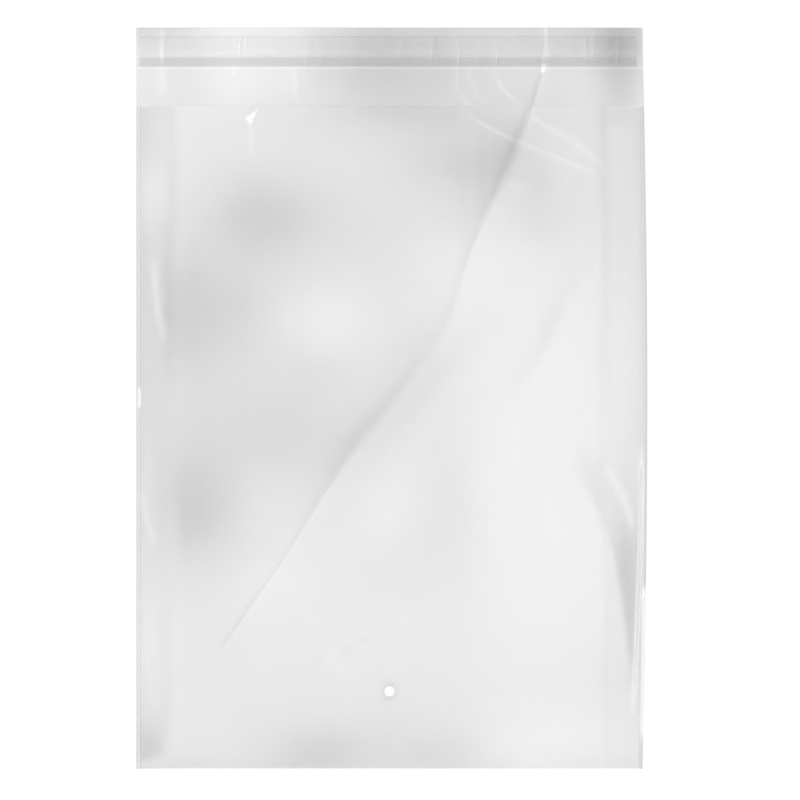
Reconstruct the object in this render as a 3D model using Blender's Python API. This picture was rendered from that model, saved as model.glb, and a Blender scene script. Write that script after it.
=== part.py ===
"""A clear self-seal poly bag, empty, lying on its back with its flap open.

One web of film is folded at the bottom and welded up both sides. The back panel lies on the surface and runs on
past the mouth as the flap. The front panel lies on it, puffed up by a little air, and its mouth stands open. A
line of glue crosses the flap, under a wider liner that peels off. Metres, +Z up, +Y from the fold to the flap.
"""

import math

import bmesh
import bpy

# The web of film
WIDTH = 0.2530  # across the bag, at the flap's cut edge and at the fold
SIDE_BOW = 0.0024  # how much wider the bag is half way up, where its right-hand weld bows out
BODY_LENGTH = 0.3310  # from the bottom fold to the mouth
FLAP_LENGTH = 0.0395  # the back panel, carried on past the mouth
FILM = 0.00005  # one wall of film, two thousandths of an inch
WELD = 0.0018  # how far in each side weld joins the two walls
FOLD_PINCH = 0.0004  # how far up the bottom fold is pressed shut

# The air between the walls
PLATEAU = 0.0070  # height of the front panel over the back one, away from its edges and creases
SIDE_RISE = 0.0240  # distance from a side weld over which the panel climbs to that height
FOLD_RISE = 0.0380  # the same from the bottom fold
RISE_POWER = 2.5  # the climb is this many times as steep at the edge as a straight slope would be
SWELL_HEIGHT = 0.0026  # the tallest swell, at the mouth
CREASE_DEPTH = 0.0019  # the long crease where it is deepest

# Vent hole, through both walls
VENT_DIAMETER = 0.0052
VENT_UP = 0.0389  # its centre above the bottom fold
VENT_SIDES = 24
PUNCH_DEPTH = 4 * (PLATEAU + SWELL_HEIGHT)

# Glue and liner on the flap
GLUE_WIDTH = 0.0046
GLUE_THICKNESS = 0.00010
LINER_WIDTH = 0.0155
LINER_THICKNESS = 0.00005
LINER_FROM_CUT = 0.0042  # from the flap's cut edge to the liner
GLUE_IN_LINER = 0.0003  # the liner's margin past the glue, on the side of the mouth
LEFT_END = 0.0015  # from the left-hand edge to the ends of the glue and the liner
RIGHT_END = 0.0032  # the same on the right
REST_GAP = 0.0003  # clearance between pieces that lie on each other

# Mesh steps
COLUMNS_LEFT_OF_CREASE = 24
COLUMNS_RIGHT_OF_CREASE = 22
ROWS = 54
FLAP_ROWS = 6

LENGTH = BODY_LENGTH + FLAP_LENGTH
LEFT = -(WIDTH + SIDE_BOW) / 2
FOLD_Y = -LENGTH / 2
MOUTH_Y = FOLD_Y + BODY_LENGTH
CUT_Y = LENGTH / 2

# Swells and hollows of the front panel: where each one is, as shares of the width from the left and of the body's
# length up from the fold, how far it reaches, as shares of the same two sizes, and its share of SWELL_HEIGHT.
SWELLS = (
    (0.33, 1.00, 0.30, 0.14, 1.00),  # the mouth, standing open left of the middle
    (0.54, 0.91, 0.16, 0.10, 0.30),  # the mouth's right shoulder
    (0.15, 0.86, 0.10, 0.07, 0.30),  # shoulder under the mouth, beside the left-hand weld
    (0.31, 0.69, 0.14, 0.11, -0.78),  # upper left hollow
    (0.53, 0.77, 0.16, 0.08, -0.56),  # hollow between it and the crease
    (0.21, 0.38, 0.11, 0.085, -0.52),  # lower left hollow
    (0.66, 0.04, 0.24, 0.08, -0.65),  # flattened stretch at the fold
)

# Creases of the front panel: each has its points, then how far the film takes to level out on its left and on its
# right, as shares of the width. A point is a share of the width from the left, a share of the body's length up
# from the fold, and its share of CREASE_DEPTH, less than 0 in a valley and more than 0 on a ridge.
LONG_CREASE = (
    (
        (0.79, 1.00, 0.00),
        (0.76, 0.93, -0.10),
        (0.70, 0.84, -0.20),
        (0.64, 0.72, -0.45),
        (0.60, 0.65, -0.80),
        (0.52, 0.57, -1.00),
        (0.42, 0.48, -1.00),
        (0.34, 0.38, -0.75),
        (0.25, 0.29, -0.30),
        (0.15, 0.10, 0.00),
        (0.15, 0.00, 0.00),
    ),
    0.16,
    0.16,
)
SHORT_CREASE = (
    (
        (0.90, 0.80, 0.00),
        (0.85, 0.72, -0.10),
        (0.80, 0.63, -0.16),
        (0.75, 0.57, -0.12),
        (0.69, 0.51, 0.00),
    ),
    0.03,
    0.07,
)
WELD_RIDGE = (
    (
        (0.83, 0.56, 0.00),
        (0.86, 0.50, 0.10),
        (0.89, 0.43, 0.26),
        (0.92, 0.36, 0.36),
        (0.935, 0.29, 0.36),
        (0.935, 0.22, 0.28),
        (0.92, 0.13, 0.10),
        (0.91, 0.06, 0.00),
    ),
    0.07,
    0.03,
)


def climb(share):
    """From 0 at a closed edge to 1 on the level, steep at first, as film that air holds up."""
    return 1.0 - (1.0 - min(share, 1.0)) ** RISE_POWER


def right_of(y):
    """The right-hand edge of the web at this height."""
    return LEFT + WIDTH + SIDE_BOW * math.sin(math.pi * (y - FOLD_Y) / LENGTH)


def along(crease, up):
    """The crease's share of the width and of CREASE_DEPTH, at a share of the body's length up from the fold."""
    points = crease[0]
    for (across, top, depth), (next_across, low, next_depth) in zip(points, points[1:]):
        if low <= up <= top:
            share = (top - up) / (top - low)
            return across + (next_across - across) * share, depth + (next_depth - depth) * share
    return points[-1][0], 0.0


def air(x, y):
    """The height of the air between the walls."""
    right = right_of(y)
    from_side = min(x - LEFT, right - x) - WELD
    from_fold = y - FOLD_Y - FOLD_PINCH
    if from_side <= 0.0 or from_fold <= 0.0:
        return 0.0
    across = (x - LEFT) / (right - LEFT)
    up = (y - FOLD_Y) / BODY_LENGTH
    height = PLATEAU
    for at, up_at, reach, up_reach, swell in SWELLS:
        off_x = (across - at) / reach
        off_y = (up - up_at) / up_reach
        height += SWELL_HEIGHT * swell * math.exp(-off_x * off_x - off_y * off_y)
    for crease in (LONG_CREASE, SHORT_CREASE, WELD_RIDGE):
        crease_across, depth = along(crease, up)
        off = across - crease_across
        reach = crease[1] if off < 0.0 else crease[2]
        height += CREASE_DEPTH * depth * math.exp(-abs(off) / reach)
    return height * climb(from_side / SIDE_RISE) * climb(from_fold / FOLD_RISE)


def spaced(start, stop, steps):
    return [start + (stop - start) * i / steps for i in range(steps + 1)]


def columns(y):
    """The mesh's lines up the bag, at this height. One of them runs along the long crease."""
    right = right_of(y)
    crease = LEFT + (right - LEFT) * along(LONG_CREASE, (y - FOLD_Y) / BODY_LENGTH)[0]
    return [
        LEFT,
        *spaced(LEFT + WELD, crease, COLUMNS_LEFT_OF_CREASE),
        *spaced(crease, right - WELD, COLUMNS_RIGHT_OF_CREASE)[1:],
        right,
    ]


def material(name, colour, roughness, alpha):
    made = bpy.data.materials.new(name)
    made.use_nodes = True
    shader = made.node_tree.nodes["Principled BSDF"]
    shader.inputs["Base Color"].default_value = (*colour, 1.0)
    shader.inputs["Roughness"].default_value = roughness
    shader.inputs["Metallic"].default_value = 0.0
    shader.inputs["Alpha"].default_value = alpha
    return made


def new_object(name, bm, finish):
    bmesh.ops.recalc_face_normals(bm, faces=bm.faces)
    mesh = bpy.data.meshes.new(name)
    bm.to_mesh(mesh)
    bm.free()
    mesh.materials.append(finish)
    made = bpy.data.objects.new(name, mesh)
    bpy.context.scene.collection.objects.link(made)
    return made


def skin(bm, grid):
    """Quads over a grid of vertices."""
    for row, following in zip(grid, grid[1:]):
        for a, b, c, d in zip(row, row[1:], following[1:], following):
            bm.faces.new((a, b, c, d))


def front_panel(bm, body_rows):
    """The front panel's outer and inner skins, joined by the rim of film at the mouth."""
    outer = []
    inner = []
    for y in body_rows:
        outer.append([bm.verts.new((x, y, 2 * FILM + air(x, y))) for x in columns(y)])
    for y in body_rows[1:]:
        inner.append([bm.verts.new((x, y, FILM + air(x, y))) for x in columns(y)[1:-1]])
    skin(bm, outer)
    skin(bm, inner)
    skin(bm, [outer[-1][1:-1], inner[-1]])
    return outer, inner


def side(bm, panel_edge, edge_of, body_rows, flap_rows):
    """One long side: the welded edge up the body and the cut edge of the flap. Returns its lower vertices, and the
    upper ones along the flap."""
    under = [bm.verts.new((edge_of(y), y, 0.0)) for y in [*body_rows, *flap_rows[1:]]]
    flap_top = [bm.verts.new((edge_of(y), y, FILM)) for y in flap_rows]
    last = len(body_rows) - 1
    skin(bm, [panel_edge[:-1], under[:last]])
    bm.faces.new((panel_edge[-2], panel_edge[-1], flap_top[0], under[last], under[last - 1]))
    skin(bm, [flap_top, under[last:]])
    return under, flap_top


def bag_film(finish):
    """The folded and welded web, as one solid with an open mouth."""
    bm = bmesh.new()
    body_rows = [FOLD_Y, *spaced(FOLD_Y + FOLD_PINCH, MOUTH_Y, ROWS)]
    flap_rows = spaced(MOUTH_Y, CUT_Y, FLAP_ROWS)
    outer, inner = front_panel(bm, body_rows)
    left_under, left_top = side(bm, [row[0] for row in outer], lambda y: LEFT, body_rows, flap_rows)
    right_under, right_top = side(bm, [row[-1] for row in outer], right_of, body_rows, flap_rows)

    fold_under = [bm.verts.new((vert.co.x, FOLD_Y, 0.0)) for vert in outer[0][1:-1]]
    fold_under = [left_under[0], *fold_under, right_under[0]]
    skin(bm, [outer[0], fold_under])
    bm.faces.new((left_top[-1], right_top[-1], right_under[-1], left_under[-1]))
    bm.faces.new((outer[-1][0], outer[-1][1], inner[-1][0], left_top[0]))
    bm.faces.new((outer[-1][-1], outer[-1][-2], inner[-1][-1], right_top[0]))

    pocket_left = [row[0] for row in inner[1:]]
    pocket_right = [row[-1] for row in inner[1:]]
    bm.faces.new([*inner[0], *pocket_right, *right_top, *reversed(left_top), *reversed(pocket_left)])
    bm.faces.new([*fold_under, *right_under[1:], *reversed(left_under[1:])])
    return new_object("bag_film", bm, finish)


def punch_vent(bag):
    """The vent hole, through both walls."""
    bm = bmesh.new()
    radius = VENT_DIAMETER / 2
    bmesh.ops.create_cone(
        bm, cap_ends=True, segments=VENT_SIDES, radius1=radius, radius2=radius, depth=PUNCH_DEPTH
    )
    punch = new_object("vent_punch", bm, bag.data.materials[0])
    punch.location = (LEFT + WIDTH / 2, FOLD_Y + VENT_UP, 0.0)
    punch.hide_render = True
    punch.display_type = "WIRE"
    cut = bag.modifiers.new("vent", "BOOLEAN")
    cut.operation = "DIFFERENCE"
    cut.object = punch


def strip(name, low_y, width, low_z, thickness, finish):
    """A flat strip across the flap that ends short of both edges."""
    bm = bmesh.new()
    high_y = low_y + width
    corners = (
        (LEFT + LEFT_END, low_y),
        (right_of(low_y) - RIGHT_END, low_y),
        (right_of(high_y) - RIGHT_END, high_y),
        (LEFT + LEFT_END, high_y),
    )
    face = bm.faces.new([bm.verts.new((x, y, low_z)) for x, y in corners])
    risen = bmesh.ops.extrude_face_region(bm, geom=[face])
    top = [item for item in risen["geom"] if isinstance(item, bmesh.types.BMVert)]
    bmesh.ops.translate(bm, vec=(0.0, 0.0, thickness), verts=top)
    return new_object(name, bm, finish)


def build():
    for old in list(bpy.data.objects):
        bpy.data.objects.remove(old, do_unlink=True)

    bag = bag_film(material("clear film", (0.80, 0.80, 0.79), 0.22, 0.45))
    punch_vent(bag)

    liner_y = CUT_Y - LINER_FROM_CUT - LINER_WIDTH
    glue_z = FILM + REST_GAP
    liner_z = glue_z + GLUE_THICKNESS + REST_GAP
    glue = material("clear glue", (0.62, 0.62, 0.61), 0.45, 0.60)
    liner = material("liner film", (0.74, 0.74, 0.73), 0.30, 0.55)
    strip("adhesive_strip", liner_y + GLUE_IN_LINER, GLUE_WIDTH, glue_z, GLUE_THICKNESS, glue)
    strip("release_liner", liner_y, LINER_WIDTH, liner_z, LINER_THICKNESS, liner)


build()
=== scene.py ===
"""The looks of a clear self-seal poly bag lying on its back: its film, its glue and its peel-off liner."""

import math

import bmesh
import bpy
import numpy as np
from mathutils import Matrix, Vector


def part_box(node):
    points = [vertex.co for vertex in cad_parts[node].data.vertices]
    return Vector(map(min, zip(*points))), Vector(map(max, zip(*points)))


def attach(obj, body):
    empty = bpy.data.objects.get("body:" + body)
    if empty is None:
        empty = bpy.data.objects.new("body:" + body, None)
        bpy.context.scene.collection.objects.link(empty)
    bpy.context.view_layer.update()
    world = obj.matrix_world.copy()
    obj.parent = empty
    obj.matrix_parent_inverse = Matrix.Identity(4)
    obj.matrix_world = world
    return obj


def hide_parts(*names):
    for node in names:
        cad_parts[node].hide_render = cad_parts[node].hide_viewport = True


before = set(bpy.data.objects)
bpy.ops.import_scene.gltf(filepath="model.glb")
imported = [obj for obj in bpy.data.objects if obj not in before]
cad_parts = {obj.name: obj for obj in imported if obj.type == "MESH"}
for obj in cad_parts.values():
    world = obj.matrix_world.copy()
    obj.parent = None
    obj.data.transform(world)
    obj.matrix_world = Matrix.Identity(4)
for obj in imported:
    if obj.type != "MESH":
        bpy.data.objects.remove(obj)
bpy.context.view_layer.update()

# The bag's film. It is one web of clear polyethylene 0.05 mm thick, folded at the bottom and welded up both
# sides, with a vent hole punched through both walls. The back panel runs on past the mouth as the flap. Air
# holds the front panel up in soft swells, and handling has left creases and fine wrinkles in it.

film_low, film_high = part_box("bag_film")
LEFT, FOLD_Y = film_low[0], film_low[1]
CUT_Y = film_high[1]
LENGTH = CUT_Y - FOLD_Y
SIDE_BOW = 0.0024
WIDTH = film_high[0] - film_low[0] - SIDE_BOW
FLAP_LENGTH = 0.0395
MOUTH_Y = CUT_Y - FLAP_LENGTH
BODY_LENGTH = MOUTH_Y - FOLD_Y
FILM = 0.00005
WELD = 0.0018
FOLD_PINCH = 0.0004

PLATEAU = 0.0070
SIDE_RISE = 0.0240
FOLD_RISE = 0.0380
RISE_POWER = 2.5
SWELL_HEIGHT = 0.0026
CREASE_DEPTH = 0.0019
CREASE_ROUNDING = 0.006  # of the width

# Each swell: share of the width, share of the body's length, how far it reaches in the same shares, share of
# SWELL_HEIGHT.
SWELLS = (
    (0.33, 1.00, 0.30, 0.14, 1.00),
    (0.54, 0.91, 0.16, 0.10, 0.30),
    (0.15, 0.86, 0.10, 0.07, 0.30),
    (0.31, 0.69, 0.14, 0.11, -0.78),
    (0.53, 0.77, 0.16, 0.08, -0.56),
    (0.21, 0.38, 0.11, 0.085, -0.52),
    (0.66, 0.04, 0.24, 0.08, -0.65),
)
# Each crease: its points from the bottom up, as share of the body's length, share of the width and share of
# CREASE_DEPTH, then its reach to the left and to the right as shares of the width.
CREASES = (
    (
        (
            (0.00, 0.15, 0.00),
            (0.10, 0.15, 0.00),
            (0.29, 0.25, -0.30),
            (0.38, 0.34, -0.75),
            (0.48, 0.42, -1.00),
            (0.57, 0.52, -1.00),
            (0.65, 0.60, -0.80),
            (0.72, 0.64, -0.45),
            (0.84, 0.70, -0.20),
            (0.93, 0.76, -0.10),
            (1.00, 0.79, 0.00),
        ),
        0.16,
        0.16,
    ),
    (
        (
            (0.51, 0.69, 0.00),
            (0.57, 0.75, -0.12),
            (0.63, 0.80, -0.16),
            (0.72, 0.85, -0.10),
            (0.80, 0.90, 0.00),
        ),
        0.03,
        0.07,
    ),
    (
        (
            (0.06, 0.91, 0.00),
            (0.13, 0.92, 0.10),
            (0.22, 0.935, 0.28),
            (0.29, 0.935, 0.36),
            (0.36, 0.92, 0.36),
            (0.43, 0.89, 0.26),
            (0.50, 0.86, 0.10),
            (0.56, 0.83, 0.00),
        ),
        0.07,
        0.03,
    ),
)


def smooth_step(share):
    share = np.clip(share, 0.0, 1.0)
    return share * share * (3.0 - 2.0 * share)


def climb(share):
    """From 0 at a closed edge to 1 on the level, steep at first, as film that air holds up."""
    return 1.0 - (1.0 - np.clip(share, 0.0, 1.0)) ** RISE_POWER


def smooth_curve(at, places, values, softness):
    """Values along a line of points, read off a curve that is rounded over the softness."""
    steps = np.linspace(places[0], places[-1], 400)
    spread = max(1, round(softness / (steps[1] - steps[0])))
    window = np.hanning(2 * spread + 3)
    padded = np.pad(np.interp(steps, places, values), spread + 1, mode="edge")
    return np.interp(at, steps, np.convolve(padded, window / window.sum(), mode="valid"))


def right_of(y):
    return LEFT + WIDTH + SIDE_BOW * np.sin(math.pi * (y - FOLD_Y) / LENGTH)


# Fine wrinkles: points in millimetres, half the width and the height in millimetres, and how much lighter the
# film is painted along them, as a painted highlight; less than 0, as painted shade.
FAN = (
    (
        ((33, 145.5), (41.6, 139.2), (54, 132.2), (64, 127.7), (76.6, 122.7), (89, 117.7), (110, 109)),
        0.8,
        0.08,
        0.9,
    ),
    (
        ((66, 144), (73, 139), (78, 135.2), (86.6, 130.2), (96.6, 123.7), (104, 118.2), (110, 111.7)),
        0.8,
        0.08,
        0.9,
    ),
    (((76.6, 137.7), (85, 133.7), (94, 128.2), (103, 120.7)), 0.8, 0.05, 0.6),
    (((57.6, 106.2), (64, 105.7), (70.6, 105.2)), 1.2, 0.05, 0.8),
)
# The last one, along the left-hand weld, is painted white: a painted highlight on the weld's edge.
LEFT_WRINKLES = (
    (((-114.4, 146), (-114.4, 119), (-113.4, 82)), 3.0, 0.10, 0.3),
    (((-119.9, 74), (-117.9, 54), (-115.9, 36.7), (-111.9, 24)), 1.8, 0.06, 1.1),
    (((-125.9, -43), (-123.9, -55.8), (-120.9, -65.8), (-116.9, -75)), 1.5, 0.12, 0.8),
    (((-126.6, 6), (-126.3, 0), (-126.5, -6)), 0.7, 0.0, 6.0),
)
# The last two, along the crinkled right-hand weld, are painted white: painted highlights on its crinkles.
RIGHT_WRINKLES = (
    (((104, -32), (108.7, -37.5), (114.7, -47.3), (118, -56), (120.5, -69)), 2.0, 0.20, 1.6),
    (
        (
            (124.8, -18),
            (124.6, -60),
            (124.2, -81),
            (123.2, -100),
            (122.4, -121),
            (121.2, -146),
            (119.5, -165),
        ),
        1.1,
        0.10,
        7.0,
    ),
    (((126.2, -88), (126.3, -111), (126.0, -131), (126.1, -151), (125.2, -176)), 1.0, 0.10, 13.0),
)
LOWER_WRINKLES = (
    (((-33.4, -123.3), (-28.4, -129.8), (-23.4, -136.8), (-18.4, -145.8)), 1.3, 0.03, 0.4),
    (((10.6, -135.8), (14.1, -145.8), (24, -158.3)), 1.3, 0.02, 0.25),
    (((106, 84), (94, 57), (81.5, 34), (69, 9), (44, -16)), 3.0, -0.05, 0.0),
)
# The top of the long crease, which runs on up the flap, with painted shade along it.
CREASE_LINE = (
    ((77, 169), (73.5, 157), (69, 146), (64, 133), (57, 115), (50, 100), (44, 86)),
    1.6,
    -0.06,
    -0.2,
)
# Painted light and shade along the long crease's sharp side, from the bottom up: place in millimetres, how
# far it shows beside the crease in millimetres, and how strongly.
CREASE_SHADE_LINE = (
    (-90.0, -132.0, 4.0, 0.20),
    (-77.5, -113.9, 4.0, 0.80),
    (-64.0, -94.4, 4.5, 0.85),
    (-50.5, -74.9, 5.0, 0.80),
    (-39.0, -55.4, 6.0, 0.65),
    (-24.6, -34.0, 8.0, 0.50),
    (-3.0, -7.0, 10.0, 0.25),
    (15.5, 19.0, 10.0, 0.15),
    (28.0, 38.0, 8.0, 0.20),
    (34.0, 59.2, 7.0, 0.35),
    (39.0, 74.2, 7.0, 0.50),
    (44.0, 85.0, 9.0, 0.50),
    (50.7, 97.5, 12.0, 0.50),
    (57.4, 110.8, 14.0, 0.50),
    (63.2, 125.0, 12.0, 0.50),
    (68.2, 139.2, 7.0, 0.70),
    (72.4, 154.2, 5.0, 0.70),
    (77.0, 169.0, 4.0, 0.50),
)
# A painted glint at the mouth: an arrow head painted opaque white, with a faint tail, a low wrinkle painted
# lighter along it.
GLINT_CORNERS = ((-73.4, 139.6), (-66.9, 144.0), (-70.2, 136.2))
GLINT_TAIL = (((-70.4, 138), (-69.8, 129), (-69.4, 119)), 1.5, 0.03, 0.6)
GLINT_PAINTED_LIGHT = 6.0
BODY_WRINKLES = FAN + LEFT_WRINKLES + RIGHT_WRINKLES + LOWER_WRINKLES + (CREASE_LINE, GLINT_TAIL)
# The top of the long crease: a valley with a gentle left flank and a steep right one.
UPPER_CREASE = ((29, 38), (33, 49), (39, 69), (44, 86.7), (50.6, 101.7), (56.6, 114), (64, 129), (69, 146))
UPPER_CREASE_DEPTH = 0.75
UPPER_CREASE_LEFT = 17.0
UPPER_CREASE_RIGHT = 24.0
# The ridge inside the lower right-hand weld, steep on its right flank.
WELD_RIDGE = (
    (118, -150),
    (116, -122),
    (114, -106),
    (110.5, -86),
    (106.5, -69),
    (99, -51),
    (89.5, -35),
    (85, -16),
)
WELD_RIDGE_HEIGHT = 0.55
WELD_RIDGE_LEFT = 16.0
WELD_RIDGE_RIGHT = 5.0

MM = 0.001


def line_distance(x, y, points):
    """How far in metres each place lies from a line of points, less than 0 on the left of one who walks along
    it, and the share of the line that it lies beside."""
    points = np.array(points) * MM
    lengths = np.concatenate([[0.0], np.cumsum(np.hypot(*np.diff(points, axis=0).T))])
    steps = np.linspace(0.0, lengths[-1], 60)
    softness = lengths[-1] / len(points)
    line = np.stack([smooth_curve(steps, lengths, points[:, axis], softness) for axis in (0, 1)], axis=1)
    nearest = np.full(np.shape(x), np.inf)
    side = np.zeros(np.shape(x))
    share = np.zeros(np.shape(x))
    for i, (start, end) in enumerate(zip(line, line[1:])):
        run = end - start
        length = math.hypot(*run)
        if length == 0.0:
            continue
        on = np.clip(((x - start[0]) * run[0] + (y - start[1]) * run[1]) / length**2, 0.0, 1.0)
        off_x = x - start[0] - on * run[0]
        off_y = y - start[1] - on * run[1]
        off = np.hypot(off_x, off_y)
        closer = off < nearest
        nearest = np.where(closer, off, nearest)
        side = np.where(closer, np.where(run[0] * off_y > run[1] * off_x, -1.0, 1.0), side)
        share = np.where(closer, (i + on) / (len(line) - 1), share)
    return nearest * side, share


def tapered(share):
    """Fades a line out at both ends."""
    return smooth_step(share / 0.2) * smooth_step((1.0 - share) / 0.2)


def wrinkles(x, y, lines):
    """The height of the fine wrinkles, and how much light or shade is painted along them."""
    height = np.zeros(np.shape(x))
    painted_along = np.zeros(np.shape(x))
    for points, half_width, rise, lightness in lines:
        off, share = line_distance(x, y, points)
        line = np.exp(-((off / (half_width * MM)) ** 2)) * tapered(share)
        height += rise * MM * line
        painted_along += lightness * line
    return height, painted_along


def inside_corners(x, y, corners):
    """1 inside the corners, given in millimetres the way a clock runs, and 0 outside, with a soft border."""
    inside = np.full(np.shape(x), 1.0)
    for (from_x, from_y), (to_x, to_y) in zip(corners, (*corners[1:], corners[0])):
        run = (to_x - from_x, to_y - from_y)
        off = ((x / MM - from_x) * run[1] - (y / MM - from_y) * run[0]) / math.hypot(*run)
        inside = inside * smooth_step((off + 0.3) / 0.6)
    return inside


FLANK_ROUNDING = 0.8 * MM


def two_flanks(x, y, points, rise, left, right):
    """A ridge along a line, with its height and how far each flank reaches in millimetres."""
    off, share = line_distance(x, y, points)
    reach = np.where(off < 0.0, left, right) * MM
    rounded = np.sqrt(off * off + FLANK_ROUNDING**2) - FLANK_ROUNDING
    return rise * MM * np.exp(-rounded / reach) * tapered(share)


def air(x, y):
    """The height of the air between the walls."""
    right = right_of(y)
    from_side = np.minimum(x - LEFT, right - x) - WELD
    from_fold = y - FOLD_Y - FOLD_PINCH
    across = (x - LEFT) / (right - LEFT)
    up = (y - FOLD_Y) / BODY_LENGTH
    height = PLATEAU + wrinkles(x, y, BODY_WRINKLES)[0]
    for at, up_at, reach, up_reach, swell in SWELLS:
        spread = ((across - at) / reach) ** 2 + ((up - up_at) / up_reach) ** 2
        height = height + SWELL_HEIGHT * swell * np.exp(-spread)
    for points, left_reach, right_reach in CREASES:
        places, crosses, depths = np.array(points).T
        off = across - smooth_curve(up, places, crosses, 0.05)
        depth = np.where((up >= places[0]) & (up <= places[-1]), smooth_curve(up, places, depths, 0.03), 0.0)
        rounded = np.sqrt(off * off + CREASE_ROUNDING**2) - CREASE_ROUNDING
        flank = np.where(off < 0.0, left_reach, right_reach)
        height = height + CREASE_DEPTH * depth * np.exp(-rounded / flank)
    valley = two_flanks(x, y, UPPER_CREASE, UPPER_CREASE_DEPTH, UPPER_CREASE_LEFT, UPPER_CREASE_RIGHT)
    ridge = two_flanks(x, y, WELD_RIDGE, WELD_RIDGE_HEIGHT, WELD_RIDGE_LEFT, WELD_RIDGE_RIGHT)
    return (height - valley + ridge) * climb(from_side / SIDE_RISE) * climb(from_fold / FOLD_RISE)


# The flap's wave: share of the width and height in millimetres. It starts at the mouth and is full at the
# liner.
FLAP_WAVE = (
    (0.00, 0.0),
    (0.06, 0.35),
    (0.13, 0.45),
    (0.23, 1.30),
    (0.33, 2.20),
    (0.42, 1.60),
    (0.52, 0.60),
    (0.62, 0.15),
    (0.70, 0.20),
    (0.77, 0.60),
    (0.85, 1.15),
    (0.90, 1.20),
    (0.95, 0.70),
    (1.00, 0.0),
)
WAVE_RUN = 0.018
# The flap's wrinkles, each painted lighter or darker along it; the short one at the crease's top end is
# painted white as a glint.
FLAP_WRINKLES = (
    CREASE_LINE,
    (((70, 141), (61, 149), (55, 156), (50, 166)), 0.7, 0.04, 0.7),
    (((61, 149), (55, 154), (53, 160)), 0.7, 0.04, 0.6),
    (((44, 142), (36, 149), (31, 156), (33.5, 166)), 0.7, 0.04, 0.7),
    (((47, 146), (42, 153), (37.5, 166)), 0.7, 0.03, 0.5),
    (((-49.0, 166), (-49.4, 158), (-48, 150)), 1.2, 0.03, 0.6),
    (((-114.4, 190), (-114.4, 166), (-114.4, 147)), 2.5, 0.08, 0.5),
    (((-114.6, 190), (-114.8, 180), (-115.6, 172), (-114.4, 166)), 0.7, 0.06, 0.6),
    (((76.5, 190), (76.7, 178), (76.3, 166)), 0.7, 0.03, 1.5),
    (((76.8, 168), (75.9, 165.2), (74.4, 162)), 0.6, 0.03, 7.0),
    (((-79, 168), (-79, 160)), 0.9, 0.0, 0.8),
    (((100, 190), (100.5, 180), (100, 168)), 0.8, 0.05, 0.8),
)
# Short wrinkles across the glue and the liner: place across the flap in millimetres, height in millimetres.
# Each is painted as a thin light line with a dark one beside it: painted light and shade on its flanks.
LINER_WRINKLES = (
    (-114.0, 0.10),
    (-76.0, 0.05),
    (-73.0, 0.05),
    (-43.0, 0.05),
    (-36.0, 0.04),
    (5.0, 0.06),
    (19.5, 0.05),
    (22.5, 0.05),
    (33.0, 0.05),
    (44.0, 0.05),
    (52.0, 0.04),
    (76.0, -0.08),
    (97.0, 0.07),
    (113.0, 0.05),
)
LINER_WRINKLE_WIDTH = 1.3
LINER_WRINKLE_FADE = 8.0
LINER_WRINKLE_SWAY = 5.0  # how far along a wrinkle it takes to sway from side to side, in millimetres
STRIP_MIDDLE = 0.1735


def flap_lift(x, y):
    """How far the flap stands off the surface."""
    across = (x - LEFT) / (right_of(y) - LEFT)
    places, rises = np.array(FLAP_WAVE).T
    lift = smooth_curve(across, places, rises, 0.05) * MM
    for at, rise in LINER_WRINKLES:
        bend = 0.8 * MM * np.sin((y - STRIP_MIDDLE) / (LINER_WRINKLE_SWAY * MM) + at)
        off = (x - at * MM - bend) / (LINER_WRINKLE_WIDTH * MM)
        beside = np.exp(-(((y - STRIP_MIDDLE) / (LINER_WRINKLE_FADE * MM)) ** 2))
        lift = lift + rise * MM * np.exp(-off * off) * beside
    lift = lift + wrinkles(x, y, FLAP_WRINKLES)[0]
    return np.maximum(lift, 0.0) * smooth_step((y - MOUTH_Y) / WAVE_RUN)


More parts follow.
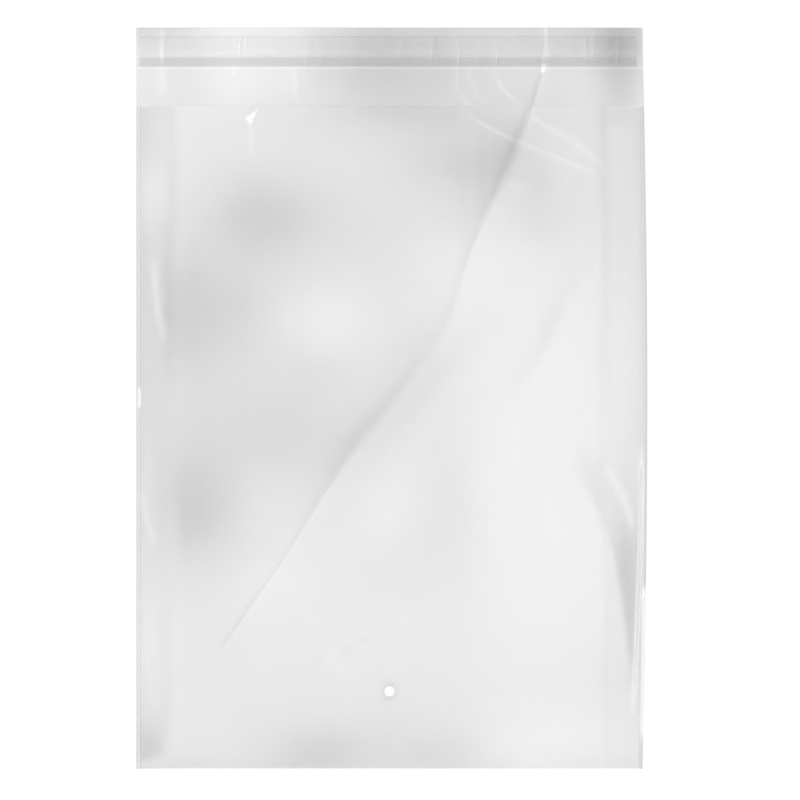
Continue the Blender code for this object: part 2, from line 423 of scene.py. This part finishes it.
# Painted light and shade on the film, standing in for the soft reflections of its swells: centre in
# millimetres, half width and half height in millimetres, turn in degrees, and strength, less than 0 where it
# is painted darker.
BODY_PAINTED_LIGHT = (
    (-62, 92, 36, 21, 0, -1.25),
    (-102, 46, 18, 38, 0, -1.40),
    (-107.4, -20, 2.6, 120, 0, -0.45),
    (-112.6, -20, 3.2, 120, 0, 0.20),
    (-109, 42, 5, 28, 0, -0.80),
    (-107, -52, 5, 30, 0, -0.40),
    (-92, -60, 17, 24, 0, -0.35),
    (-95, -31, 26, 42, 0, -0.75),
    (-106, -56, 12, 30, 0, -0.60),
    (-55, -18, 28, 26, 0, -0.80),
    (-16, -20, 26, 10, 50, -0.60),
    (-36, 12, 16, 12, 0, -0.40),
    (-75, 45, 14, 20, 0, -0.35),
    (12, 2, 34, 9, 50, -0.90),
    (2, 144, 45, 13, 0, -0.95),
    (-10, 149, 34, 8, 0, -0.50),
    (30, 118, 30, 12, 0, -0.55),
    (52, 114, 24, 18, 66, -0.85),
    (73, 108, 12, 9, 0, -0.60),
    (65, 125, 12, 12, 0, -0.65),
    (74, 90, 15, 14, 0, -0.85),
    (44, 143, 30, 10, 0, -0.30),
    (114, 143, 8, 8, 0, -0.80),
    (-121, 103, 7, 16, 0, 1.10),
    (-60, 60, 40, 50, 0, -0.25),
    (-38, 40, 26, 16, 0, 0.70),
    (78, -38, 38, 95, 0, 2.80),
    (73, 24, 28, 7, 65, -0.70),
    (117, -82, 6, 22, 0, -0.90),
    (118, -45, 5, 40, 0, -0.60),
    (32, -50, 14, 40, 0, -0.40),
    (119, -108, 4, 24, 0, -0.50),
    (105, -120, 2.6, 45, 0, 0.50),
    (104, 22, 6, 26, 0, -0.50),
    (108, 25, 16, 45, 0, 0.60),
    (28, 60, 22, 22, 0, 0.90),
    (5, -122, 75, 40, 0, 0.65),
    (-123, -121, 9, 38, 0, 1.10),
    (-123, -40, 5, 25, 0, 0.50),
    (-122, -176, 11, 14, 0, -1.30),
    (-36, -176, 26, 12, 0, -1.30),
    (22, -178, 26, 10, 0, -0.80),
    (65, -176, 16, 10, 0, 0.40),
    (92, -172, 42, 22, 0, 1.30),
    (-2, -56, 14, 22, -30, 0.80),
    (-60, -95, 30, 18, 0, 0.50),
)
FLAP_PAINTED_LIGHT = (
    (2, 165, 42, 60, 0, -1.50),
    (65, 165, 35, 60, 0, -0.75),
    (114, 165, 10, 60, 0, -1.20),
    (-120, 165, 14, 60, 0, -0.40),
    (-101, 165, 11, 60, 0, -0.30),
    (-78, 165, 12, 60, 0, 0.30),
    (-120, 186, 18, 10, 0, -0.80),
    (-118, 188, 20, 6, 0, -0.60),
    (85, 188, 50, 6, 0, -0.80),
    (100, 179, 30, 13, 0, -0.90),
    (113, 177, 9, 9, 0, -1.20),
)
# The flap is painted darker all over, as shade; the side edges and the mouth's rim are painted with a thin
# dark line of shade. The welds are duller.
FLAP_PAINTED_SHADE = 0.7
WELD_DULLNESS = 3.0
EDGE_PAINTED_SHADE = 2.5
EDGE_WIDTH = 0.0005
RIM_PAINTED_SHADE = 0.10
RIM_WIDTH = 0.0006


def tone_and_painted_light(x, y, patches):
    """How much light or shade is painted on the film at each place."""
    total = np.zeros(np.shape(x))
    for at_x, at_y, half_width, half_height, turn, strength in patches:
        off_x = x / MM - at_x
        off_y = y / MM - at_y
        turned = math.radians(turn)
        along = (off_x * math.cos(turned) + off_y * math.sin(turned)) / half_width
        beside = (off_y * math.cos(turned) - off_x * math.sin(turned)) / half_height
        total += strength * np.exp(-along * along - beside * beside)
    return total


def ridge_light_and_shade(x, y):
    """Painted light up to the ridge along the lower right-hand weld and painted shade past it."""
    off, share = line_distance(x, y, WELD_RIDGE)
    past = smooth_step(off / (3.0 * MM)) * np.exp(-((off / (16.0 * MM)) ** 2))
    before = smooth_step((4.0 * MM - off) / (4.0 * MM)) * np.exp(-((off / (9.0 * MM)) ** 2))
    return (0.4 * before - 1.3 * past) * tapered(share)


# The film's tone over the body: duller at the welds, painted shade along the cut edges and the mouth's rim,
# and painted light and shade from the patches, the wrinkles, the ridge and the glint.
def body_tone(x, y):
    from_side = np.minimum(x - LEFT, right_of(y) - x)
    weld = smooth_step((WELD * 1.15 - from_side) / (WELD * 0.3))
    rim = np.exp(-(((MOUTH_Y - y) / RIM_WIDTH) ** 2))
    edge = np.exp(-((from_side / EDGE_WIDTH) ** 2))
    darker = WELD_DULLNESS * weld + EDGE_PAINTED_SHADE * edge + RIM_PAINTED_SHADE * rim
    clear = tone_and_painted_light(x, y, BODY_PAINTED_LIGHT) + wrinkles(x, y, BODY_WRINKLES)[1]
    return clear - darker + ridge_light_and_shade(x, y) + GLINT_PAINTED_LIGHT * inside_corners(x, y, GLINT_CORNERS)


# The flap's tone: painted darker all over, with painted light and shade from its patches and wrinkles, and a
# painted highlight just under the liner's lower edge.
def flap_tone(x, y):
    liner_edge_highlight = np.exp(-(((LINER_LOW_Y - 0.0004 - y) / 0.0004) ** 2))
    past_mouth = 0.3 + 0.7 * smooth_step((y - MOUTH_Y) / 0.0008)
    overall = (tone_and_painted_light(x, y, FLAP_PAINTED_LIGHT) - FLAP_PAINTED_SHADE) * past_mouth
    return overall + wrinkles(x, y, FLAP_WRINKLES)[1] + liner_edge_highlight


def crease_shade_line(x, y):
    """How far each place lies beside the long crease, as a share of how far its painted light and shade
    shows, and its strength.
    """
    places = np.array(CREASE_SHADE_LINE)
    off, share = line_distance(x, y, places[:, :2])
    reach = np.interp(y / MM, places[:, 1], places[:, 2]) * MM
    strength = np.interp(y / MM, places[:, 1], places[:, 3]) * (share < 1.0) * (share > 0.0)
    return off / reach, strength * smooth_step(2.0 - np.abs(off) / reach)


TICK_REACH = 1.1
TICK_STRENGTH = -3.2  # less than 0, so the light side is the wide one


def tick_lines(x, y):
    """The same painted light and shade for the short wrinkles across the glue and the liner."""
    at = np.array([place for place, _ in LINER_WRINKLES])
    sway = 0.6 * np.sin((y[..., None] - STRIP_MIDDLE) / (LINER_WRINKLE_SWAY * MM) + at)
    offs = x[..., None] / MM - at - sway
    order = np.sort(np.abs(offs), axis=-1)
    nearest = np.argmin(np.abs(offs), axis=-1)
    off = np.take_along_axis(offs, nearest[..., None], axis=-1)[..., 0]
    strength = 0.55 + 0.45 * np.sin(3.7 * at + y[..., None] / (4.0 * MM))
    strength = np.take_along_axis(strength, nearest[..., None], axis=-1)[..., 0]
    return off / TICK_REACH, TICK_STRENGTH * strength * smooth_step((order[..., 1] - order[..., 0]) / 1.5)


def spaced(steps):
    """Places from the first to the last of the given ones, in millimetres, with the steps given at each."""
    places, sizes = np.array(steps, float).T
    fine = np.linspace(places[0], places[-1], 8000)
    counted = np.concatenate([[0.0], np.cumsum(np.diff(fine) / np.interp(fine[1:], places, sizes))])
    return np.interp(np.linspace(0.0, counted[-1], round(counted[-1]) + 1), counted, fine) * MM


WELD_STEPS = 4
PINCH_STEPS = 2
LEFT_MM, RIGHT_MM = (LEFT + WELD) / MM, (LEFT + WIDTH - WELD) / MM
FOLD_MM, MOUTH_MM = (FOLD_Y + FOLD_PINCH) / MM, MOUTH_Y / MM
# The mesh's steps across the bag and up it: place and step in millimetres.
COLUMN_STEPS = (
    (LEFT_MM, 0.6),
    (-116, 1.4),
    (-82, 1.6),
    (-75, 0.6),
    (-66, 0.6),
    (-58, 1.9),
    (20, 1.9),
    (40, 1.5),
    (100, 1.4),
    (116, 0.9),
    (RIGHT_MM, 0.55),
)
ROW_STEPS = (
    (FOLD_MM, 0.4),
    (FOLD_MM + 5, 1.6),
    (FOLD_MM + 12, 2.3),
    (96, 2.3),
    (106, 1.1),
    (133, 1.1),
    (136, 0.65),
    (MOUTH_MM, 0.45),
)
COLUMNS = np.concatenate([
    np.linspace(0.0, WELD, WELD_STEPS, endpoint=False),
    spaced(COLUMN_STEPS) - LEFT,
    np.linspace(WIDTH - WELD, WIDTH, WELD_STEPS + 1)[1:],
]) / WIDTH
PINCH_ROWS = FOLD_Y + np.linspace(0.0, FOLD_PINCH, PINCH_STEPS, endpoint=False)
BODY_ROWS = np.concatenate([PINCH_ROWS, spaced(ROW_STEPS)])

LINER_WIDTH = 0.0155
LINER_FROM_CUT = 0.0042
LINER_LOW_Y = CUT_Y - LINER_FROM_CUT - LINER_WIDTH
LINER_TOP_Y = LINER_LOW_Y + LINER_WIDTH
FLAP_STEPS = ((MOUTH_MM, 0.5), (MOUTH_MM + 4, 1.5), (LINER_LOW_Y / MM - 3, 1.5), (LINER_LOW_Y / MM, 0.35))
FLAP_ROWS = np.concatenate([
    spaced(FLAP_STEPS),
    np.linspace(LINER_LOW_Y, LINER_TOP_Y, 32)[1:],
    np.linspace(LINER_TOP_Y, CUT_Y, 8)[1:],
])

VENT_RADIUS = 0.0026
VENT_UP = 0.0389
VENT_X = LEFT + WIDTH / 2
VENT_Y = FOLD_Y + VENT_UP
VENT_CELLS = 6

WELD_BEAD = 0.00012  # the weld's rolled edge of melted film
WELD_BEAD_WIDTH = 0.0005


def weld_bead(x, y):
    from_side = np.minimum(x - LEFT, right_of(y) - x)
    return WELD_BEAD * np.exp(-(((from_side - WELD) / WELD_BEAD_WIDTH) ** 2))


class MeshBuilder:
    """Collects the points and faces of one closed mesh, with the looks of the film at each point."""

    # Each point carries its tone with the painted light and shade, and where it lies beside a painted line.
    LOOKS = ("tone_and_painted_light", "line_off", "line")

    def __init__(self):
        self.points = []
        self.looks = []
        self.faces = []
        self.smooth = []
        self.carries_tone = []

    def add(self, x, y, z, looks):
        """Adds points with their looks, a value or grid for each, and returns their numbers."""
        first = len(self.points)
        self.points.extend(zip(np.ravel(x), np.ravel(y), np.ravel(z)))
        self.looks.extend(np.stack([np.ravel(np.broadcast_to(look, np.shape(x))) for look in looks], axis=1))
        return np.arange(first, len(self.points)).reshape(np.shape(x))

    def face(self, corners, smooth=False, carries_tone=True):
        self.faces.append([int(corner) for corner in corners])
        self.smooth.append(smooth)
        self.carries_tone.append(carries_tone)

    def skin(self, grid, smooth=False, hole=None):
        """Quads over a grid of points, apart from a block of cells left out for a hole."""
        for r in range(len(grid) - 1):
            for c in range(len(grid[0]) - 1):
                if hole and hole[0] <= r < hole[0] + VENT_CELLS and hole[1] <= c < hole[1] + VENT_CELLS:
                    continue
                self.face((grid[r][c], grid[r][c + 1], grid[r + 1][c + 1], grid[r + 1][c]), smooth)

    def finished(self, name):
        mesh = bpy.data.meshes.new(name)
        mesh.from_pydata([tuple(map(float, point)) for point in self.points], [], self.faces)
        corners = [corner for face in self.faces for corner in face]
        shown = np.repeat(np.array(self.carries_tone, float), [len(face) for face in self.faces])
        values = np.array(self.looks, np.float32)[corners] * shown[:, None]
        for look, look_name in enumerate(self.LOOKS):
            stored = mesh.attributes.new(look_name, "FLOAT", "CORNER")
            stored.data.foreach_set("value", np.ascontiguousarray(values[:, look], np.float32))
        mesh.polygons.foreach_set("use_smooth", self.smooth)
        bm = bmesh.new()
        bm.from_mesh(mesh)
        bmesh.ops.delete(bm, geom=[vert for vert in bm.verts if not vert.link_faces], context="VERTS")
        bmesh.ops.recalc_face_normals(bm, faces=bm.faces)
        open_edges = sum(not edge.is_manifold for edge in bm.edges)
        bm.to_mesh(mesh)
        bm.free()
        if open_edges:
            raise ValueError(f"{name} has {open_edges} open edges")
        piece = bpy.data.objects.new(name, mesh)
        bpy.context.scene.collection.objects.link(piece)
        return piece


film = MeshBuilder()
body_y = np.repeat(BODY_ROWS[:, None], len(COLUMNS), axis=1)
body_x = LEFT + COLUMNS[None, :] * (right_of(body_y) - LEFT)
body_air = air(body_x, body_y)
body_looks = np.stack([body_tone(body_x, body_y), *crease_shade_line(body_x, body_y)])
pocket = slice(WELD_STEPS, len(COLUMNS) - WELD_STEPS)
outer = film.add(body_x, body_y, 2 * FILM + body_air + weld_bead(body_x, body_y), body_looks)
inner = film.add(
    body_x[PINCH_STEPS:, pocket],
    body_y[PINCH_STEPS:, pocket],
    FILM + body_air[PINCH_STEPS:, pocket],
    body_looks[:, PINCH_STEPS:, pocket],
)

# the block of cells around the vent hole, in the outer grid
vent_row = int(np.searchsorted(BODY_ROWS, VENT_Y)) - VENT_CELLS // 2
vent_column = int(np.searchsorted(body_x[vent_row], VENT_X)) - VENT_CELLS // 2
film.skin(outer, True, (vent_row, vent_column))
film.skin(inner, True, (vent_row - PINCH_STEPS, vent_column - WELD_STEPS))


def block_edge(grid, row, column):
    """The points around a block of cells, anticlockwise from its lower left corner."""
    n = VENT_CELLS
    below = [grid[row][column + k] for k in range(n)]
    right = [grid[row + k][column + n] for k in range(n)]
    above = [grid[row + n][column + n - k] for k in range(n)]
    left = [grid[row + n - k][column] for k in range(n)]
    return below + right + above + left


around = block_edge(outer, vent_row, vent_column)
around_inner = block_edge(inner, vent_row - PINCH_STEPS, vent_column - WELD_STEPS)


def vent_turns(points):
    """Each point's direction from the middle of the vent hole."""
    return [math.atan2(film.points[i][1] - VENT_Y, film.points[i][0] - VENT_X) for i in points]


turns = vent_turns(around)
ring_x = VENT_X + VENT_RADIUS * np.cos(turns)
ring_y = VENT_Y + VENT_RADIUS * np.sin(turns)
ring_air = air(ring_x, ring_y)
flat_ring = np.zeros(len(turns))
plain = (0.0, 0.0, 0.0)
rings = (
    film.add(ring_x, ring_y, 2 * FILM + ring_air, plain),
    film.add(ring_x, ring_y, FILM + ring_air, plain),
    film.add(ring_x, ring_y, flat_ring + FILM, plain),
    film.add(ring_x, ring_y, flat_ring, plain),
)


def closed(loop):
    return [*loop, loop[0]]


film.skin([closed(around), closed(rings[0])], True)
film.skin([closed(around_inner), closed(rings[1])], True)
film.skin([closed(rings[0]), closed(rings[1])])
film.skin([closed(rings[2]), closed(rings[3])])

flap_y = np.repeat(FLAP_ROWS[:, None], len(COLUMNS), axis=1)
flap_x = LEFT + COLUMNS[None, :] * (right_of(flap_y) - LEFT)
flap_looks = np.stack([flap_tone(flap_x, flap_y), *crease_shade_line(flap_x, flap_y)])
lift = flap_lift(flap_x, flap_y)
flap_top = film.add(flap_x, flap_y, FILM + lift, flap_looks)
flap_top[0, WELD_STEPS] = inner[-1, 0]
flap_top[0, -1 - WELD_STEPS] = inner[-1, -1]
flap_under = film.add(flap_x, flap_y, lift, flap_looks)
film.skin(flap_top, True)
film.skin(flap_under, True)
film.skin([flap_top[-1], flap_under[-1]])

fold_under = film.add(body_x[0], body_y[0], np.zeros(len(COLUMNS)), body_looks[:, 0])
film.skin([outer[0], fold_under])
film.skin([outer[-1, pocket], inner[-1]])
rows = slice(1, -1)
flat = np.zeros(len(BODY_ROWS) - 2)
for side in (0, -1):
    edge_under = [fold_under[side]]
    edge_under += list(film.add(body_x[rows, side], body_y[rows, side], flat, body_looks[:, rows, side]))
    edge_under.append(flap_under[0, side])
    film.skin([outer[:-1, side], edge_under[:-1]])
    film.face((outer[-2, side], outer[-1, side], flap_top[0, side], edge_under[-1], edge_under[-2]))
    film.skin([flap_top[:, side], flap_under[:, side]])
    weld = slice(0, WELD_STEPS + 1) if side == 0 else slice(-1 - WELD_STEPS, None)
    film.skin([outer[-1, weld], flap_top[0, weld]])
    if side == 0:
        left_under = edge_under
    else:
        right_under = edge_under


def plate_with_hole(left, right, below, above, hole, split):
    """A flat wall with the vent hole in it, as one face above the middle of the hole and one below it. The
    lists of points run up and to the right, and the hole's runs anticlockwise."""
    half = len(hole) // 2
    start = int(np.argmin(np.abs(vent_turns(hole))))
    ring = [hole[(start + k) % len(hole)] for k in range(len(hole))]
    upper = ring[: half + 1]
    lower = [*ring[half:], ring[0]]
    film.face([*left[split:], *above[1:-1], *right[split:][::-1], *upper], carries_tone=False)
    film.face([*right[: split + 1][::-1], *below[1:-1][::-1], *left[: split + 1], *lower], carries_tone=False)


middle_row = vent_row + VENT_CELLS // 2
pocket_row = middle_row - PINCH_STEPS
plate_with_hole(
    list(inner[:, 0]),
    list(inner[:, -1]),
    list(inner[0]),
    list(flap_top[0, pocket]),
    list(rings[2]),
    pocket_row,
)
plate_with_hole(left_under, right_under, list(fold_under), list(flap_under[0]), list(rings[3]), middle_row)
bag_film = film.finished("poly_bag_film")


class Tree:
    """Adds the nodes of one material, light or world."""

    def __init__(self, owner):
        owner.use_nodes = True
        self.tree = owner.node_tree
        self.tree.nodes.clear()

    def node(self, kind, settings, values):
        """A node of this type, its settings, and the values or links of its sockets by name or number."""
        made = self.tree.nodes.new(kind)
        for name, setting in settings.items():
            setattr(made, name, setting)
        for name, value in values.items():
            if isinstance(value, Flow):
                self.tree.links.new(value.socket, made.inputs[name])
            else:
                made.inputs[name].default_value = value
        return made

    def flow(self, kind, settings, values, output=0):
        return Flow(self, self.node(kind, settings, values).outputs[output])


class Flow:
    """One output of a node, on which sums can be written."""

    def __init__(self, tree, socket):
        self.tree = tree
        self.socket = socket

    def maths(self, operation, first, second=0.0):
        return self.tree.flow("ShaderNodeMath", {"operation": operation}, {0: first, 1: second})

    def __add__(self, other):
        return self.maths("ADD", self, other)

    def __sub__(self, other):
        return self.maths("SUBTRACT", self, other)

    def __rsub__(self, other):
        return self.maths("SUBTRACT", other, self)

    def __mul__(self, other):
        return self.maths("MULTIPLY", self, other)

    __radd__ = __add__
    __rmul__ = __mul__

    def largest(self, other):
        return self.maths("MAXIMUM", self, other)

    def size(self):
        return self.maths("ABSOLUTE", self)

    def clamped(self):
        return self.tree.flow("ShaderNodeClamp", {}, {0: self})

    def eased(self, start, stop):
        """From 0 at the start to 1 at the stop, smoothly."""
        settings = {"interpolation_type": "SMOOTHSTEP"}
        return self.tree.flow("ShaderNodeMapRange", settings, {0: self, 1: start, 2: stop})


def mixed_colour(tree, share, first, second):
    settings = {"data_type": "RGBA"}
    return tree.flow("ShaderNodeMix", settings, {"Factor": share, 6: (*first, 1.0), 7: (*second, 1.0)}, 2)


PAINTED_GLINT_WHITE = (1.5, 2.2)  # the lightness from which the film is painted white as a glint, and at which it is opaque white
TONE_SHARE = 0.25  # how far one step of the tone goes from the painted shade colour to the painted light one
STREAK_SCALE = (260.0, 9.0, 1.0)  # the film's streaks are fine across the bag and long up it
STREAK_SHARE = 0.08
STREAK_ROUGHNESS = 0.10


def clear_plastic(name, darker, clear, solid, roughness, ior, opacity_share):
    """Clear film whose colour runs from a dark one to a light one by the painted light and shade it carries,
    and turns opaque white at a painted glint. Each face of the wall shows this much of itself, more where it
    is painted darker. A line, such as a crease, is painted in shade on its left and in light on its right."""
    made = bpy.data.materials.new(name)
    tree = Tree(made)
    place = tree.flow("ShaderNodeTexCoord", {}, {}, "Object")
    tone = tree.flow("ShaderNodeAttribute", {"attribute_name": "tone_and_painted_light"}, {}, "Fac")
    line = tree.flow("ShaderNodeAttribute", {"attribute_name": "line"}, {}, "Fac")
    off = tree.flow("ShaderNodeAttribute", {"attribute_name": "line_off"}, {}, "Fac")
    beside = off.eased(-1.0, -0.04)
    # painted shade on a line's left and painted light on its right
    sides = off.eased(0.05, 0.2) * off.eased(1.0, 0.25) * 0.4 - beside * beside * off.eased(0.12, 0.0)
    streak_size = {"Vector": place, "Scale": STREAK_SCALE}
    streak_place = tree.flow("ShaderNodeMapping", {"vector_type": "POINT"}, streak_size)
    streaks = tree.flow("ShaderNodeTexNoise", {}, {"Vector": streak_place, "Scale": 1.0, "Detail": 1.0})
    lightness = (line * sides + tone) * TONE_SHARE + 0.5 + (streaks - 0.5) * STREAK_SHARE
    share = lightness.clamped()
    wall = ((0.5 - lightness) * opacity_share + solid).clamped()
    shader = tree.node(
        "ShaderNodeBsdfPrincipled",
        {},
        {
            "Base Color": mixed_colour(tree, share, darker, clear),
            "Roughness": (streaks - 0.5) * STREAK_ROUGHNESS + roughness,
            "IOR": ior,
            "Specular IOR Level": 1.0,
            "Alpha": wall.largest(lightness.eased(*PAINTED_GLINT_WHITE)),
        },
    )
    tree.node("ShaderNodeOutputMaterial", {}, {"Surface": Flow(tree, shader.outputs[0])})
    return made


# The film's colour runs between these: painted shade and painted light. Its plain tone lies halfway.
FILM_PAINTED_SHADE_COLOUR = (0.040, 0.040, 0.036)
FILM_PAINTED_LIGHT_COLOUR = (1.00, 1.00, 1.00)
bag_film.data.materials.append(clear_plastic("clear film", FILM_PAINTED_SHADE_COLOUR, FILM_PAINTED_LIGHT_COLOUR, 0.16, 0.20, 2.3, 0.20))
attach(bag_film, "root")
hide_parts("bag_film")

# The glue. It is one thin line of clear pressure-sensitive glue rolled across the flap, and the flap's film
# carries it. It follows the flap's wave and wrinkles.

GLUE_WIDTH = 0.0046
GLUE_THICKNESS = 0.00010
GLUE_IN_LINER = 0.0003
LEFT_END = 0.0015
RIGHT_END = 0.0032
CONTACT = 0.00002  # what the meshes keep clear of each other where the real pieces touch


def strip(name, low_y, width, low_z, thickness, rows, bands):
    """A strip across the flap. low_z gives its underside's height above the flap's top face at x and y."""
    made = MeshBuilder()
    share = np.linspace(0.0, 1.0, rows)
    columns = (COLUMNS - COLUMNS[0]) / (COLUMNS[-1] - COLUMNS[0])
    y = low_y + np.repeat(share[:, None], len(columns), axis=1) * width
    left = LEFT + LEFT_END
    x = left + columns[None, :] * (right_of(y) - RIGHT_END - left)
    z = FILM + flap_lift(x, y) + low_z(x, y)
    # the flap's painted light and shade at half strength, the strip's own bands, and its wrinkles' painted
    # light and dark lines
    tone = tone_and_painted_light(x, y, FLAP_PAINTED_LIGHT) * 0.5 + bands(x, y)
    looks = (tone, *tick_lines(x, y))
    under = made.add(x, y, z, looks)
    top = made.add(x, y, z + thickness, looks)
    made.skin(under, True)
    made.skin(top, True)
    for end in (0, -1):
        made.skin([under[end], top[end]])
    for end in (0, -1):
        made.skin([under[:, end], top[:, end]])
    return made.finished(name)


glue_low_y = LINER_LOW_Y + GLUE_IN_LINER
# The glue's colour runs between these, for its own darker middle and the flap's painted light and shade.
GLUE_DARK = (0.10, 0.10, 0.095)
GLUE_LIGHT = (0.50, 0.50, 0.49)


def glue_bands(x, y):
    """Duller in the middle of the line, with slow changes along it."""
    share = (y - glue_low_y) / GLUE_WIDTH
    gaps = 1.0 * np.exp(-(((x + 0.085) / 0.007) ** 2)) + 1.4 * smooth_step((-0.112 - x) / 0.008)
    return 0.4 * np.sin(x / 0.021) - 1.6 * np.exp(-(((share - 0.45) / 0.32) ** 2)) + 0.9 + gaps


glue = strip("glue_line", glue_low_y, GLUE_WIDTH, lambda x, y: CONTACT, GLUE_THICKNESS, 10, glue_bands)
glue.data.materials.append(clear_plastic("clear glue", GLUE_DARK, GLUE_LIGHT, 0.022, 0.35, 1.7, 0.03))
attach(glue, "root")
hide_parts("adhesive_strip")

# The release liner. It is a strip of clear film with a release coat, wider than the glue and laid over it, so
# its lower margin follows the glue's edge and the rest lies on the flap. It peels off before sealing.

LINER_THICKNESS = 0.00005
LINER_SAG = 0.0010  # the distance over which it comes down from the glue to the flap


def over_glue(x, y):
    from_glue = y - glue_low_y - GLUE_WIDTH
    step = GLUE_THICKNESS + CONTACT
    return 1.5 * CONTACT + step * (1.0 - smooth_step(from_glue / LINER_SAG))


# The liner's colour runs between these, for its bands and the flap's painted light and shade.
LINER_DARK = (0.10, 0.10, 0.098)
LINER_LIGHT = (0.85, 0.85, 0.84)
WAVY_BAND_Y = 0.1726
WAVY_BAND = 0.0020


def liner_bands(x, y):
    """A dark line painted along the top edge, as shade at the cut edge, and a lighter wavy band above the
    glue.
    """
    edge = np.exp(-(((LINER_TOP_Y - y) / 0.0006) ** 2))
    middle = WAVY_BAND_Y + 0.0004 * np.sin(x / 0.013) + 0.0003 * np.sin(x / 0.0057)
    band = np.exp(-(((y - middle) / WAVY_BAND) ** 2))
    wetted = smooth_step((glue_low_y + GLUE_WIDTH - y) / 0.0015 + 0.5)
    return 1.2 * band - 1.8 * edge + 1.4 * wetted - 0.2


liner = strip("release_liner_film", LINER_LOW_Y, LINER_WIDTH, over_glue, LINER_THICKNESS, 32, liner_bands)
liner.data.materials.append(clear_plastic("liner film", LINER_DARK, LINER_LIGHT, 0.05, 0.26, 2.0, 0.06))
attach(liner, "root")
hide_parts("release_liner")

# The studio: a white floor that keeps the bag's shadow, one broad soft light over the bag's left side and a
# weaker one far to its right. The first one's soft edge is nearly overhead, so the film's slopes show.

FLOOR_SIDE = 8.0
FLOOR_DROP = 0.0003
bpy.ops.mesh.primitive_plane_add(size=FLOOR_SIDE, location=(0.0, 0.0, -FLOOR_DROP))
floor = bpy.context.object
floor.name = "floor"
floor_finish = bpy.data.materials.new("white floor")
tree = Tree(floor_finish)


def seen_ray(tree):
    """1 for the rays that show a background: from the camera, by a reflection or through a clear wall."""
    path = tree.node("ShaderNodeLightPath", {}, {})
    by_camera = Flow(tree, path.outputs["Is Camera Ray"])
    by_gloss = Flow(tree, path.outputs["Is Glossy Ray"])
    return by_camera.largest(by_gloss).largest(Flow(tree, path.outputs["Is Transmission Ray"]))


FLOOR_GLOW = 0.84
FLOOR_GREY = 0.18
glow = tree.flow("ShaderNodeEmission", {}, {"Strength": seen_ray(tree) * FLOOR_GLOW})
matt = tree.flow("ShaderNodeBsdfDiffuse", {}, {"Color": (FLOOR_GREY, FLOOR_GREY, FLOOR_GREY, 1.0)})
both = tree.flow("ShaderNodeAddShader", {}, {0: glow, 1: matt})
tree.node("ShaderNodeOutputMaterial", {}, {"Surface": both})
floor.data.materials.append(floor_finish)

world = bpy.data.worlds.new("studio")
bpy.context.scene.world = world
tree = Tree(world)
# How bright the sky is: the light over the left, its far side, the light far to the right, and between them.
BANK = 2.35
FAR_LEFT = 1.2
FAR_RIGHT = 1.4
AROUND = 0.38
direction = tree.flow("ShaderNodeTexCoord", {}, {}, "Generated")
parts = tree.node("ShaderNodeSeparateXYZ", {}, {"Vector": direction})
to_right = Flow(tree, parts.outputs["X"])
to_back = Flow(tree, parts.outputs["Y"])
upward = Flow(tree, parts.outputs["Z"])
far_left = to_right.eased(-0.18, -0.42)
bank = to_right.eased(0.16, -0.10) * ((1.0 - far_left) * (BANK - AROUND) + far_left * (FAR_LEFT - AROUND))
right_bank = to_right.eased(0.06, 0.44) * (FAR_RIGHT - AROUND)
reach = to_right.size().eased(1.0, 0.85) * to_back.size().eased(0.95, 0.6) * upward.eased(0.0, 0.2)
low = seen_ray(tree) * (1.0 - upward.eased(0.10, 0.30))
light = ((bank + right_bank) * reach + AROUND) * (1.0 - low) + low
background = tree.flow("ShaderNodeBackground", {}, {"Strength": light})
tree.node("ShaderNodeOutputWorld", {}, {"Surface": background})

# The camera looks straight down on the bag from far away, as the photograph does.

FRAME_WIDTH = 0.400
FRAME_MIDDLE = (0.00405, -0.00085)
CAMERA_HEIGHT = 3.0
SENSOR = 36.0
camera_data = bpy.data.cameras.new("camera")
camera_data.sensor_width = SENSOR
camera_data.lens = SENSOR * CAMERA_HEIGHT / FRAME_WIDTH
camera_data.clip_end = 50.0
camera = bpy.data.objects.new("camera", camera_data)
bpy.context.scene.collection.objects.link(camera)
camera.location = Vector((*FRAME_MIDDLE, CAMERA_HEIGHT))
bpy.context.scene.camera = camera
bpy.context.scene.view_settings.view_transform = "Standard"
